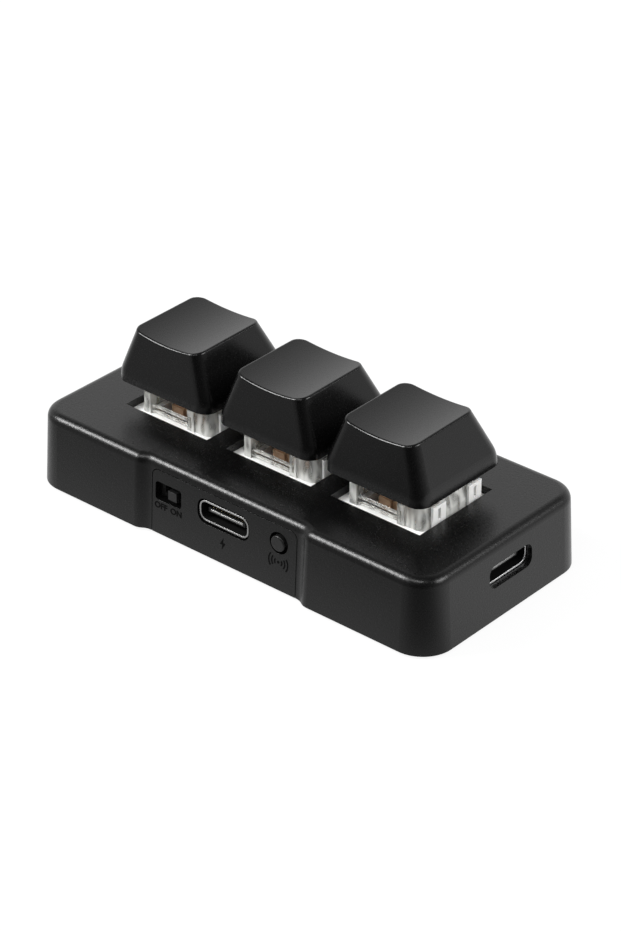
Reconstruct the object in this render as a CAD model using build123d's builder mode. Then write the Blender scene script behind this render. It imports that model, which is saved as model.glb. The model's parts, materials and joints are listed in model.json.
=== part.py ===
from build123d import *

import os
from math import atan2, cos, degrees, pi, sin, sqrt

# Three-key macro keypad. +Z is up, +X runs along the row of keys, and -Y is the side with the ports.
# The origin is on the desk, under the middle of the case. All lengths are in millimetres.

# Case. Its length, depth and height are worked out below from what it holds.
case_corner = 4.9
case_draft = 0.6
top_edge_radius = 1.4
side_wall = 1.6
top_wall = 1.2
cavity_corner = 3.6
foot_lift = 0.45

# Recess and panel on the port side
panel_x = -0.45
recess_depth = 0.8
recess_margin = 0.75
recess_slope = 1.25
recess_blend = 2.0
port_wall = 1.5
panel_half = 13.3
panel_corner = 1.2

# Bottom cover
floor_thickness = 1.3
lip_height = 0.9
lip_thickness = 0.9
standoff_diameter = 4.6

# Screws and feet
screw_inset_x = 5.6
screw_inset_y = 5.4
screw_diameter = 1.8
screw_head_diameter = 3.6
screw_head_height = 1.2
screw_bite = 3.4
screw_slot_length = 2.2
screw_slot_width = 0.7
screw_slot_depth = 0.5
screw_sink = 0.4
boss_diameter = 4.6
foot_diameter = 7.6
foot_recess = 0.6
foot_inset_x = 12.6
foot_inset_y = 6.6
foot_edge = 0.25

# Key row
key_names = ("left", "middle", "right")
key_gap = 1.55
key_row_y = 0.3
key_opening = 15.5

# Key switch. Heights are above the circuit board.
switch_seat = 5.0
flange_lap = 0.05
flange_thickness = 1.0
flange_corner = 0.5
flange_overhang = 0.825
base_taper = 0.625
base_floor = 0.9
base_corner = 0.6
cavity_side_room = 0.8
cavity_port_y = 4.4
cavity_contact_room = 0.37
guide_gap = 0.25
guide_height = 5.0
guide_bore_depth = 1.6
post_diameter = 4.0
post_length = 2.7
peg_diameter = 1.7
peg_offset = 5.08
latch_width = 2.7
latch_thickness = 0.4
latch_height = 3.5
latch_port_y = 2.9
latch_user_y = 4.7
latch_slot_width = 0.55
latch_slot_height = 1.7
latch_slot_rise = 1.3

# Clear switch cover
switch_height = 11.6
cover_margin = 0.6
cover_port_margin = 2.2
cover_user_margin = 1.0
cover_rim = 1.4
cover_rim_corner = 1.6
cover_top_corner = 1.0
cover_wall = 0.9
cover_roof = 1.0
window_left = -4.8
window_right = 2.3
window_rise = 3.4
window_post_width = 1.2
window_post_proud = 0.25
window_post_height = 3.2
window_slit = 0.35
window_slit_height = 1.7
window_slit_rise = 0.5
window_bar = 0.3
window_bar_depth = 0.4
window_bar_rises = (0.15, 1.05)

# Switch stem
stem_side_wall = 0.9
stem_face_wall = 0.4
stem_length = 6.4
stem_corner = 0.5
wing_reach = 0.9
wing_depth = 2.8
wing_gap = 0.15
stem_bore_depth = 4.4
stem_pin_diameter = 1.6
stem_pin_length = 5.2
cross_length = 4.0
cross_arm_x = 1.15
cross_arm_y = 1.3
cross_height = 3.6
stem_leg_x = 2.2
stem_leg_width = 0.9
stem_leg_depth = 0.3
stem_leg_height = 3.0
stem_shoe_x = -1.95
stem_shoe_width = 2.1
stem_shoe_depth = 0.5
stem_shoe_height = 1.8

# Return spring
spring_diameter = 3.8
spring_wire = 0.3
spring_room = 0.35
spring_turns = 6
spring_end_gap = 0.1
spring_sides = 4

# Contact pair of a switch
contact_thickness = 0.3
leaf_x = -3.81
leaf_y = 2.54
leaf_width = 1.0
leaf_length = 4.6
leaf_gap = 0.29
leaf_low = 2.6
leaf_high = 5.6
fixed_x = 2.54
fixed_y = 5.08
fixed_width = 2.4
fixed_high = 4.8
contact_pin_width = 0.9
contact_pin_length = 2.5

# Keycap
cap_width = 17.5
cap_band = 1.4
cap_shoulder_radius = 5.0
cap_height = 8.45
cap_top_width = 12.2
cap_top_port_y = 7.7
cap_top_user_y = 5.7
cap_top_rise = 0.15
cap_corner = 2.1
cap_top_corner = 1.75
cap_dish = 0.62
cap_edge_radius = 0.35
cap_wall = 1.1
cap_roof = 1.4
cap_inner_corner = 1.0
cap_socket_depth = 4.0
cap_rib_thickness = 0.8
cap_rib_height = 1.9

# Ports
port_width = 8.94
port_height = 3.26
port_corner = 1.25
port_metal = 0.24
port_length = 6.9
port_rear = 0.8
port_plug_depth = 1.6
port_leg_width = 1.1
port_leg_setback = 2.0
tongue_width = 6.7
tongue_thickness = 0.7
tongue_setback = 0.6
port_hole_gap = 0.28
charge_port_rise = 2.7
charge_port_setback = 0.15
charge_port_clearance = 1.325
link_port_rise = 2.35
link_port_y = 0.6
link_port_lip = 0.85
link_port_gap = 0.1
link_port_clearance = 1.075

# Power slide switch
power_x = -10.2
power_rise = 2.55
power_travel = 1.5
power_window_width = 4.85
power_window_height = 2.8
power_window_corner = 0.5
power_body_length = 8.6
power_body_depth = 3.6
power_body_height = 4.9
power_body_wall = 0.6
power_knob_width = 1.55
power_knob_height = 1.4
power_carriage_width = 3.0
power_carriage_depth = 1.2
power_carriage_height = 2.4
power_pin_pitch = 2.5
power_pin_diameter = 0.8

# Pairing push switch
pair_x = 10.05
pair_rise = 3.05
pair_travel = 0.3
pair_hole_diameter = 3.25
pair_button_diameter = 2.4
pair_button_proud = 0.35
pair_button_edge = 0.25
pair_collar_diameter = 3.2
pair_collar_thickness = 0.6
pair_body_width = 4.6
pair_body_depth = 3.2
pair_body_height = 5.4
pair_body_wall = 0.6
pair_pin_pitch = 3.2

# Circuit board and what sits on it. A rise is a height above the board.
board_thickness = 1.2
board_floor_gap = 0.2
board_edge_gap = 0.4
board_corner = 3.0
battery_height = 4.2
battery_pad_height = 0.3
battery_edge = 1.0
battery_wall_gap = 0.7
battery_switch_gap = 1.025
battery_flap = 1.2
lead_diameter = 0.8
lead_pitch = 1.8
lead_reach = 2.6
lead_bend = 0.9
lead_boss_gap = 1.15
lead_sides = 8
chip_inset_x = 5.2
controller_width = 6.0
controller_height = 0.9
controller_y = 4.2
charger_width = 3.0
charger_height = 0.8
charger_y = -3.6
crystal_length = 3.2
crystal_width = 1.5
crystal_height = 0.7
crystal_y = -0.7
passive_length = 1.6
passive_width = 0.8
passive_height = 0.6
passive_pitch_x = 2.6
passive_pitch_y = 1.6
passive_y = -7.4

# Fits
fit_gap = 0.05
seam_gap = 0.12
run_gap = 0.2
pin_gap = 0.15
overrun = 1.0

# Sizes of the switch, from its opening, its spring and its contacts
flange_width = key_opening + 2 * flange_lap
flange_top = switch_seat + flange_thickness
base_width = flange_width - 2 * flange_overhang
base_foot_width = base_width - 2 * base_taper
guide_diameter = spring_diameter - spring_wire - 2 * guide_gap
guide_bore = stem_pin_diameter + 2 * run_gap
stem_bore = spring_diameter + spring_wire + 2 * spring_room
stem_width = stem_bore + 2 * stem_side_wall
stem_depth = stem_bore + 2 * stem_face_wall
wing_span = stem_width + 2 * wing_reach
cavity_half_x = wing_span / 2 + cavity_side_room
cavity_user_y = fixed_y + contact_thickness / 2 + cavity_contact_room
leaf_offset = stem_depth / 2 + stem_leg_depth + leaf_gap + contact_thickness / 2 - leaf_y
cover_width = flange_width - 2 * (cover_margin + latch_thickness + fit_gap)
cover_port_y = flange_width / 2 - cover_port_margin
cover_user_y = flange_width / 2 - cover_user_margin
cover_top_width = wing_span + 2 * (cover_wall + run_gap)
cap_boss_diameter = stem_depth - 2 * fit_gap

# Sizes of the case, from the row of keys, the ports and the height of a switch
key_pitch = cap_width + key_gap
key_middle = (len(key_names) - 1) / 2
port_stack = port_length + port_rear
end_stack = link_port_clearance + port_stack + link_port_gap + link_port_lip + case_draft
port_side_stack = charge_port_clearance + port_stack + charge_port_setback + case_draft + recess_depth
case_length = 2 * (key_middle * key_pitch + base_width / 2 + end_stack)
case_depth = 2 * (base_width / 2 - key_row_y + port_side_stack)
case_height = floor_thickness + board_floor_gap + post_length + flange_top + fit_gap + top_wall
panel_height = case_height - top_edge_radius
recess_half_inner = panel_half + recess_margin
recess_half_outer = recess_half_inner + recess_slope

# Levels and places worked out from the sizes above
case_bottom = foot_lift
case_top = case_bottom + case_height
draft_angle = degrees(atan2(case_draft, case_height))
shell_underside = case_top - top_wall
board_top = shell_underside - fit_gap - flange_top
board_bottom = board_top - board_thickness
floor_top = case_bottom + floor_thickness
cavity_port = case_depth / 2 - recess_depth - port_wall
cavity_user = case_depth / 2 - side_wall
cavity_length = case_length - 2 * side_wall
cavity_depth = cavity_port + cavity_user
cavity_y = (cavity_user - cavity_port) / 2
screw_x = case_length / 2 - screw_inset_x
screw_y = case_depth / 2 - screw_inset_y
foot_x = case_length / 2 - foot_inset_x
foot_y = case_depth / 2 - foot_inset_y
cap_seat = board_top + switch_height
corners = [(x, y) for x in (-screw_x, screw_x) for y in (-screw_y, screw_y)]
foot_places = [(x, y) for x in (-foot_x, foot_x) for y in (-foot_y, foot_y)]


def wall_inset(level):
    """How far the drafted case wall has moved in at a level above the desk."""
    return case_draft * (level - case_bottom) / case_height


def facing_port(x, y, z):
    """Plane that looks out of the port side: its x is +X and its y is up."""
    return Plane((x, y, z), x_dir=(1, 0, 0), z_dir=(0, -1, 0))


def facing_end(x, y, z):
    """Plane that looks out of the right-hand end: its x is +Y and its y is up."""
    return Plane((x, y, z), x_dir=(0, 1, 0), z_dir=(1, 0, 0))


port_face = -case_depth / 2 + recess_depth
charge_z = board_top + charge_port_rise
charge_mouth = port_face + wall_inset(charge_z) + charge_port_setback
charge_plane = facing_port(panel_x, charge_mouth, charge_z)
link_z = board_top + link_port_rise
link_lip_inside = case_length / 2 - wall_inset(link_z) - link_port_lip
link_plane = facing_end(link_lip_inside - link_port_gap, link_port_y, link_z)
power_z = board_top + power_rise
power_middle = panel_x + power_x
power_front = -cavity_port + run_gap
pair_z = board_top + pair_rise
pair_middle = panel_x + pair_x
pair_front = -cavity_port + run_gap
switch_pegs = [(0, 0), (-peg_offset, 0), (peg_offset, 0)]
contact_pins = [(leaf_x, leaf_y), (fixed_x, fixed_y)]
power_pin_y = power_front + power_body_depth / 2
power_pins = [(power_middle + step * power_pin_pitch, power_pin_y) for step in (-1, 0, 1)]
pair_pin_y = pair_front + pair_body_depth / 2
pair_pins = [(pair_middle + side * pair_pin_pitch / 2, pair_pin_y) for side in (-1, 1)]
leg_middle = port_width / 2 - port_metal / 2
leg_reach = port_leg_setback + port_leg_width / 2
charge_legs = [(panel_x + side * leg_middle, charge_mouth + leg_reach) for side in (-1, 1)]
link_legs = [(link_plane.origin.X - leg_reach, link_port_y + side * leg_middle) for side in (-1, 1)]


def key_centre(index):
    """Centre of a key in plan."""
    return ((index - key_middle) * key_pitch, key_row_y)


def key_plane(index, height):
    """Level plane through a key's centre, at a height above the circuit board."""
    x, y = key_centre(index)
    return Plane((x, y, board_top + height))


os.makedirs("parts", exist_ok=True)


def save(piece, name):
    """Label a finished piece and write it to its own file."""
    piece.label = name
    export_step(piece, f"parts/{name}.step")


# Outer form of the closed case: a drafted block with the shallow port recess and a rounded top edge.
with BuildPart() as outer_form:
    with BuildSketch(Plane.XY.offset(case_bottom)) as plan:
        Rectangle(case_length, case_depth)
        fillet(plan.vertices(), case_corner)
        with BuildLine():
            edge_y = -case_depth / 2
            Polyline(
                (panel_x - recess_half_inner, port_face),
                (panel_x + recess_half_inner, port_face),
                (panel_x + recess_half_outer, edge_y),
                (panel_x + recess_half_outer, edge_y - overrun),
                (panel_x - recess_half_outer, edge_y - overrun),
                (panel_x - recess_half_outer, edge_y),
                close=True,
            )
        make_face(mode=Mode.SUBTRACT)
        recess_reach = recess_half_outer + fit_gap
        recess_ends = plan.vertices().filter_by(lambda v: abs(v.X - panel_x) < recess_reach and v.Y < 0)
        fillet(recess_ends, recess_blend)
    extrude(amount=case_height, taper=draft_angle)
    fillet(outer_form.faces().sort_by(Axis.Z)[-1].edges(), top_edge_radius)

# Top shell: the outer form hollowed from below, with a notch for the port panel.
with BuildPart() as top_shell:
    add(outer_form.part)
    with BuildSketch(Plane((0, cavity_y, case_bottom))):
        RectangleRounded(cavity_length, cavity_depth, cavity_corner)
    extrude(amount=case_height - top_wall, mode=Mode.SUBTRACT)
    with BuildSketch(facing_port(panel_x, edge_y - overrun, case_bottom)) as notch:
        Rectangle(2 * panel_half, panel_height, align=(Align.CENTER, Align.MIN))
        fillet(notch.vertices().group_by(Axis.Y)[-1], panel_corner)
    extrude(amount=-(case_depth / 2 + overrun - cavity_port + fit_gap), mode=Mode.SUBTRACT)
    with BuildSketch(Plane.XY.offset(shell_underside)):
        with Locations([key_centre(index) for index in range(len(key_names))]):
            Rectangle(key_opening, key_opening)
    extrude(amount=top_wall + overrun, mode=Mode.SUBTRACT)
    with BuildSketch(facing_end(link_lip_inside, link_port_y, link_z)):
        RectangleRounded(port_width + 2 * link_port_gap, port_height + 2 * link_port_gap, port_corner)
    extrude(amount=link_port_lip + overrun, mode=Mode.SUBTRACT)
    with BuildSketch(facing_end(link_lip_inside, link_port_y, link_z)):
        pocket_gap = 2 * port_hole_gap
        RectangleRounded(port_width + pocket_gap, port_height + pocket_gap, port_corner + port_hole_gap)
    extrude(amount=-side_wall, mode=Mode.SUBTRACT)
    with BuildSketch(Plane.XY.offset(board_top)):
        with Locations(corners):
            Circle(boss_diameter / 2)
    extrude(amount=shell_underside + fit_gap - board_top)
    with BuildSketch(Plane.XY.offset(board_top)):
        with Locations(corners):
            Circle(screw_diameter / 2 + fit_gap)
    extrude(amount=screw_bite + run_gap, mode=Mode.SUBTRACT)
save(top_shell.part, "top_shell")

# Bottom cover: a floor with a locating lip, standoffs, and the port panel that stands up in the shell's notch.
with BuildPart() as bottom_cover:
    with BuildSketch(facing_port(panel_x, edge_y - overrun, case_bottom)) as panel:
        Rectangle(2 * (panel_half - seam_gap), panel_height - seam_gap, align=(Align.CENTER, Align.MIN))
        fillet(panel.vertices().group_by(Axis.Y)[-1], panel_corner - seam_gap)
    extrude(amount=-(case_depth / 2 + overrun - cavity_port))
    add(outer_form.part, mode=Mode.INTERSECT)
    with BuildSketch(facing_port(panel_x, edge_y - overrun, charge_z)):
        hole_corner = port_corner + port_hole_gap
        RectangleRounded(port_width + 2 * port_hole_gap, port_height + 2 * port_hole_gap, hole_corner)
        with Locations((power_x, power_z - charge_z)):
            RectangleRounded(power_window_width, power_window_height, power_window_corner)
        with Locations((pair_x, pair_z - charge_z)):
            Circle(pair_hole_diameter / 2)
    extrude(amount=-(case_depth / 2 + overrun), mode=Mode.SUBTRACT)
    with BuildSketch(Plane((0, cavity_y, case_bottom))):
        plate_corner = cavity_corner - seam_gap
        RectangleRounded(cavity_length - 2 * seam_gap, cavity_depth - 2 * seam_gap, plate_corner)
        with Locations((panel_x, -cavity_port - cavity_y)):
            Rectangle(2 * (panel_half - seam_gap), port_wall)
    extrude(amount=floor_thickness)
    with BuildSketch(Plane((0, cavity_y, floor_top))):
        RectangleRounded(cavity_length - 2 * seam_gap, cavity_depth - 2 * seam_gap, plate_corner)
        inner_corner = plate_corner - lip_thickness
        lip_inset = 2 * (seam_gap + lip_thickness)
        RectangleRounded(cavity_length - lip_inset, cavity_depth - lip_inset, inner_corner, mode=Mode.SUBTRACT)
    extrude(amount=lip_height)
    with BuildSketch(Plane.XY.offset(floor_top)):
        with Locations(corners):
            Circle(standoff_diameter / 2)
    extrude(amount=board_bottom - floor_top)
    with BuildSketch(Plane.XY.offset(case_bottom)):
        with Locations(corners):
            Circle(screw_diameter / 2 + pin_gap)
    extrude(amount=board_bottom - case_bottom, mode=Mode.SUBTRACT)
    with BuildSketch(Plane.XY.offset(case_bottom)):
        with Locations(corners):
            Circle(screw_head_diameter / 2 + pin_gap)
    extrude(amount=screw_sink + screw_head_height, mode=Mode.SUBTRACT)
    with BuildSketch(Plane.XY.offset(case_bottom)):
        with Locations(foot_places):
            Circle(foot_diameter / 2 + pin_gap)
    extrude(amount=foot_recess, mode=Mode.SUBTRACT)
save(bottom_cover.part, "bottom_cover")

# Case screws, driven up through the cover and the board into the bosses of the shell.
with BuildPart() as case_screws:
    head_bottom = case_bottom + screw_sink
    with BuildSketch(Plane.XY.offset(head_bottom)):
        with Locations(corners):
            Circle(screw_head_diameter / 2)
    extrude(amount=screw_head_height)
    with BuildSketch(Plane.XY.offset(head_bottom)):
        with Locations(corners):
            Circle(screw_diameter / 2)
    extrude(amount=board_top + screw_bite - head_bottom)
    with BuildSketch(Plane.XY.offset(head_bottom)):
        with Locations(corners):
            Rectangle(screw_slot_length, screw_slot_width)
            Rectangle(screw_slot_width, screw_slot_length)
    extrude(amount=screw_slot_depth, mode=Mode.SUBTRACT)
save(case_screws.part, "case_screws")

# Rubber feet, stuck in shallow round recesses of the cover.
with BuildPart() as rubber_feet:
    with BuildSketch(Plane.XY):
        with Locations(foot_places):
            Circle(foot_diameter / 2)
    extrude(amount=foot_lift + foot_recess)
    chamfer(rubber_feet.edges().group_by(Axis.Z)[0], foot_edge)
save(rubber_feet.part, "rubber_feet")

# Circuit board with a clear hole for every pin, peg, leg and screw.
board_port = cavity_port - board_edge_gap
board_user = cavity_user - board_edge_gap
with BuildPart() as circuit_board:
    with BuildSketch(Plane((0, (board_user - board_port) / 2, board_bottom))):
        RectangleRounded(cavity_length - 2 * board_edge_gap, board_port + board_user, board_corner)
    extrude(amount=board_thickness)
    with BuildSketch(Plane.XY.offset(board_bottom)):
        with Locations(corners):
            Circle(screw_diameter / 2 + pin_gap)
        for index in range(len(key_names)):
            with Locations(key_centre(index)):
                Circle(post_diameter / 2 + pin_gap)
                with Locations(switch_pegs[1:]):
                    Circle(peg_diameter / 2 + pin_gap)
                with Locations(contact_pins):
                    Circle(contact_pin_width / 2 + pin_gap)
        with Locations(power_pins + pair_pins):
            Circle(power_pin_diameter / 2 + pin_gap)
        with Locations(charge_legs):
            Rectangle(port_metal + 2 * pin_gap, port_leg_width + 2 * pin_gap)
        with Locations(link_legs):
            Rectangle(port_leg_width + 2 * pin_gap, port_metal + 2 * pin_gap)
    extrude(amount=board_thickness, mode=Mode.SUBTRACT)
save(circuit_board.part, "circuit_board")


def build_switch_base(index, name):
    """White lower housing: flange, tapered tub, spring guide, pegs and latch tabs."""
    with BuildPart() as base:
        with BuildSketch(key_plane(index, 0)):
            RectangleRounded(base_foot_width, base_foot_width, base_corner)
        with BuildSketch(key_plane(index, switch_seat)):
            RectangleRounded(base_width, base_width, base_corner)
        loft()
        with BuildSketch(key_plane(index, switch_seat)):
            RectangleRounded(flange_width, flange_width, flange_corner)
        extrude(amount=flange_thickness)
        with BuildSketch(key_plane(index, base_floor)):
            with Locations((0, (cavity_user_y - cavity_port_y) / 2)):
                Rectangle(2 * cavity_half_x, cavity_port_y + cavity_user_y)
        extrude(amount=flange_top, mode=Mode.SUBTRACT)
        with BuildSketch(key_plane(index, base_floor)):
            Circle(guide_diameter / 2)
        extrude(amount=guide_height - base_floor)
        with BuildSketch(key_plane(index, 0)):
            Circle(post_diameter / 2)
        extrude(amount=-post_length)
        with BuildSketch(key_plane(index, 0)):
            with Locations(switch_pegs[1:]):
                Circle(peg_diameter / 2)
        extrude(amount=-post_length)
        with BuildSketch(key_plane(index, guide_height)):
            Circle(guide_bore / 2)
        extrude(amount=-(guide_height + guide_bore_depth), mode=Mode.SUBTRACT)
        with BuildSketch(key_plane(index, 0)):
            with Locations(contact_pins):
                Rectangle(contact_pin_width + 2 * fit_gap, contact_thickness + 2 * fit_gap)
        extrude(amount=base_floor, mode=Mode.SUBTRACT)
        latch_x = cover_width / 2 + fit_gap + latch_thickness / 2
        latches = [(side * latch_x, y) for side in (-1, 1) for y in (-latch_port_y, latch_user_y)]
        with BuildSketch(key_plane(index, flange_top)):
            with Locations(latches):
                Rectangle(latch_thickness, latch_width)
        extrude(amount=latch_height)
        with BuildSketch(key_plane(index, flange_top + latch_slot_rise)):
            with Locations(latches):
                Rectangle(latch_thickness, latch_slot_width)
        extrude(amount=latch_slot_height, mode=Mode.SUBTRACT)
    save(base.part, name)


def build_switch_cover(index, name):
    """Clear upper housing: a rim on the flange, tapered sides, the stem's hole and a barred window."""
    rim_depth = cover_port_y + cover_user_y
    rim_y = (cover_user_y - cover_port_y) / 2
    rim_top = flange_top + cover_rim
    ceiling = switch_height - cover_roof
    window_middle = (window_left + window_right) / 2
    window_width = window_right - window_left
    post_depth = cover_wall + window_post_proud
    post_y = -cover_port_y - window_post_proud + post_depth / 2
    post_reach = (window_width + window_post_width) / 2
    post_places = [(window_middle + side * post_reach, post_y) for side in (-1, 1)]
    with BuildPart() as cover:
        with BuildSketch(key_plane(index, flange_top)):
            with Locations((0, rim_y)):
                RectangleRounded(cover_width, rim_depth, cover_rim_corner)
        extrude(amount=cover_rim)
        with BuildSketch(key_plane(index, rim_top)):
            with Locations((0, rim_y)):
                RectangleRounded(cover_width, rim_depth, cover_rim_corner)
        with BuildSketch(key_plane(index, switch_height)):
            RectangleRounded(cover_top_width, cover_top_width, cover_top_corner)
        loft()
        with BuildSketch(key_plane(index, flange_top)):
            with Locations((0, rim_y)):
                Rectangle(cover_width - 2 * cover_wall, rim_depth - 2 * cover_wall)
        with BuildSketch(key_plane(index, ceiling)):
            Rectangle(cover_top_width - 2 * cover_wall, cover_top_width - 2 * cover_wall)
        loft(mode=Mode.SUBTRACT)
        with BuildSketch(key_plane(index, ceiling)):
            RectangleRounded(stem_width + 2 * run_gap, stem_depth + 2 * run_gap, stem_corner)
        extrude(amount=cover_roof, mode=Mode.SUBTRACT)
        with BuildSketch(key_plane(index, flange_top)):
            with Locations((window_middle, -cover_port_y)):
                Rectangle(window_width, 2 * (cover_wall + overrun))
        extrude(amount=window_rise, mode=Mode.SUBTRACT)
        with BuildSketch(key_plane(index, flange_top)):
            with Locations(post_places):
                Rectangle(window_post_width, post_depth)
        extrude(amount=window_post_height)
        with BuildSketch(key_plane(index, flange_top + window_slit_rise)):
            with Locations(post_places[1]):
                Rectangle(window_slit, post_depth)
        extrude(amount=window_slit_height, mode=Mode.SUBTRACT)
        for rise in window_bar_rises:
            with BuildSketch(key_plane(index, flange_top + rise)):
                with Locations((window_middle, post_y)):
                    Rectangle(window_width + window_post_width, window_bar_depth)
            extrude(amount=window_bar)
    save(cover.part, name)


def build_switch_stem(index, name):
    """Brown stem: a slider with wings, legs, a bore for the spring, a centre pin and the cap's cross."""
    bottom = switch_height - stem_length
    wing_top = switch_height - cover_roof - wing_gap
    with BuildPart() as stem:
        with BuildSketch(key_plane(index, bottom)):
            RectangleRounded(stem_width, stem_depth, stem_corner)
        extrude(amount=stem_length)
        with BuildSketch(key_plane(index, bottom)):
            Rectangle(wing_span, wing_depth)
        extrude(amount=wing_top - bottom)
        with BuildSketch(key_plane(index, bottom)):
            with Locations((-stem_leg_x, stem_depth / 2), (stem_leg_x, stem_depth / 2)):
                Rectangle(stem_leg_width, 2 * stem_leg_depth)
        extrude(amount=stem_leg_height)
        with BuildSketch(key_plane(index, bottom)):
            with Locations((stem_shoe_x, -stem_depth / 2)):
                Rectangle(stem_shoe_width, 2 * stem_shoe_depth)
        extrude(amount=stem_shoe_height)
        with BuildSketch(key_plane(index, bottom)):
            Circle(stem_bore / 2)
        extrude(amount=stem_bore_depth, mode=Mode.SUBTRACT)
        with BuildSketch(key_plane(index, bottom + stem_bore_depth)):
            Circle(stem_pin_diameter / 2)
        extrude(amount=-stem_pin_length)
        with BuildSketch(key_plane(index, switch_height)):
            Rectangle(cross_length, cross_arm_x)
            Rectangle(cross_arm_y, cross_length)
        extrude(amount=cross_height)
    save(stem.part, name)


spring_foot = base_floor + spring_end_gap + spring_wire / 2
spring_head = switch_height - stem_length + stem_bore_depth - spring_end_gap - spring_wire / 2
spring_pitch = (spring_head - spring_foot) / spring_turns


def spring_point(turn):
    """Point on the spring's centre line, measured from the switch's centre at the foot of the coil."""
    angle = 2 * pi * turn
    radius = spring_diameter / 2
    return Vector(radius * cos(angle), radius * sin(angle), spring_pitch * turn)


def spring_tangent(turn):
    """Direction of the spring's wire at a turn."""
    angle = 2 * pi * turn
    round_part = pi * spring_diameter
    return Vector(-round_part * sin(angle), round_part * cos(angle), spring_pitch).normalized()


def build_spring(index, name):
    """Return spring: one wire swept along pairs of arcs, half a turn to each pair."""
    centre = Vector(*key_centre(index), board_top + spring_foot)
    half_turns = [step / 2 for step in range(2 * spring_turns + 1)]
    with BuildPart() as spring:
        with BuildLine():
            for turn, following in zip(half_turns, half_turns[1:]):
                start, end = centre + spring_point(turn), centre + spring_point(following)
                leave, arrive = spring_tangent(turn), spring_tangent(following)
                chord = end - start
                along = chord.dot(leave + arrive)
                spread = 2 * (1 - leave.dot(arrive))
                reach = (sqrt(along * along + spread * chord.dot(chord)) - along) / spread
                first_knee, second_knee = start + leave * reach, end - arrive * reach
                middle = (first_knee + second_knee) * (1 / 2)
                TangentArc(start, middle, tangent=leave)
                TangentArc(middle, end, tangent=(second_knee - first_knee).normalized())
        with BuildSketch(Plane(centre + spring_point(0), z_dir=spring_tangent(0))):
            RegularPolygon(spring_wire / 2, spring_sides)
        sweep()
    save(spring.part, name)


def build_contacts(index, name):
    """Contact pair: a bent moving leaf and a fixed blade, each with its pin through the base and the board."""
    with BuildPart() as contacts:
        with BuildSketch(key_plane(index, leaf_low)):
            with Locations((leaf_x, leaf_y)):
                Rectangle(leaf_width, contact_thickness)
            with Locations((leaf_x - leaf_width / 2, leaf_y - contact_thickness / 2)):
                Rectangle(contact_thickness, leaf_offset + contact_thickness, align=Align.MIN)
            with Locations((leaf_x - leaf_width / 2, leaf_y + leaf_offset - contact_thickness / 2)):
                Rectangle(leaf_length, contact_thickness, align=Align.MIN)
        extrude(amount=leaf_high - leaf_low)
        with BuildSketch(key_plane(index, base_floor)):
            with Locations((leaf_x, leaf_y)):
                Rectangle(leaf_width, contact_thickness)
        extrude(amount=leaf_low - base_floor)
        with BuildSketch(key_plane(index, base_floor)):
            with Locations((fixed_x, fixed_y)):
                Rectangle(fixed_width, contact_thickness)
        extrude(amount=fixed_high - base_floor)
        with BuildSketch(key_plane(index, base_floor)):
            with Locations(contact_pins):
                Rectangle(contact_pin_width, contact_thickness)
        extrude(amount=-(base_floor + contact_pin_length))
    save(contacts.part, name)


def cap_reach(base, top, height):
    """Distance of a sloping cap side from the cap's centre, at a height above the cap's lower edge."""
    return base + (top - base) * (height - cap_band) / (cap_height - cap_band)


def cap_section(height, inset, corner):
    """Rounded plan of the cap at a height, drawn inside its outer faces by an inset."""
    half = cap_width / 2
    side = cap_reach(half, cap_top_width / 2, height) - inset
    port = cap_reach(half, cap_top_port_y, height) - inset
    user = cap_reach(half, cap_top_user_y, height) - inset
    with Locations((0, (user - port) / 2)):
        RectangleRounded(2 * side, port + user, corner)


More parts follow.
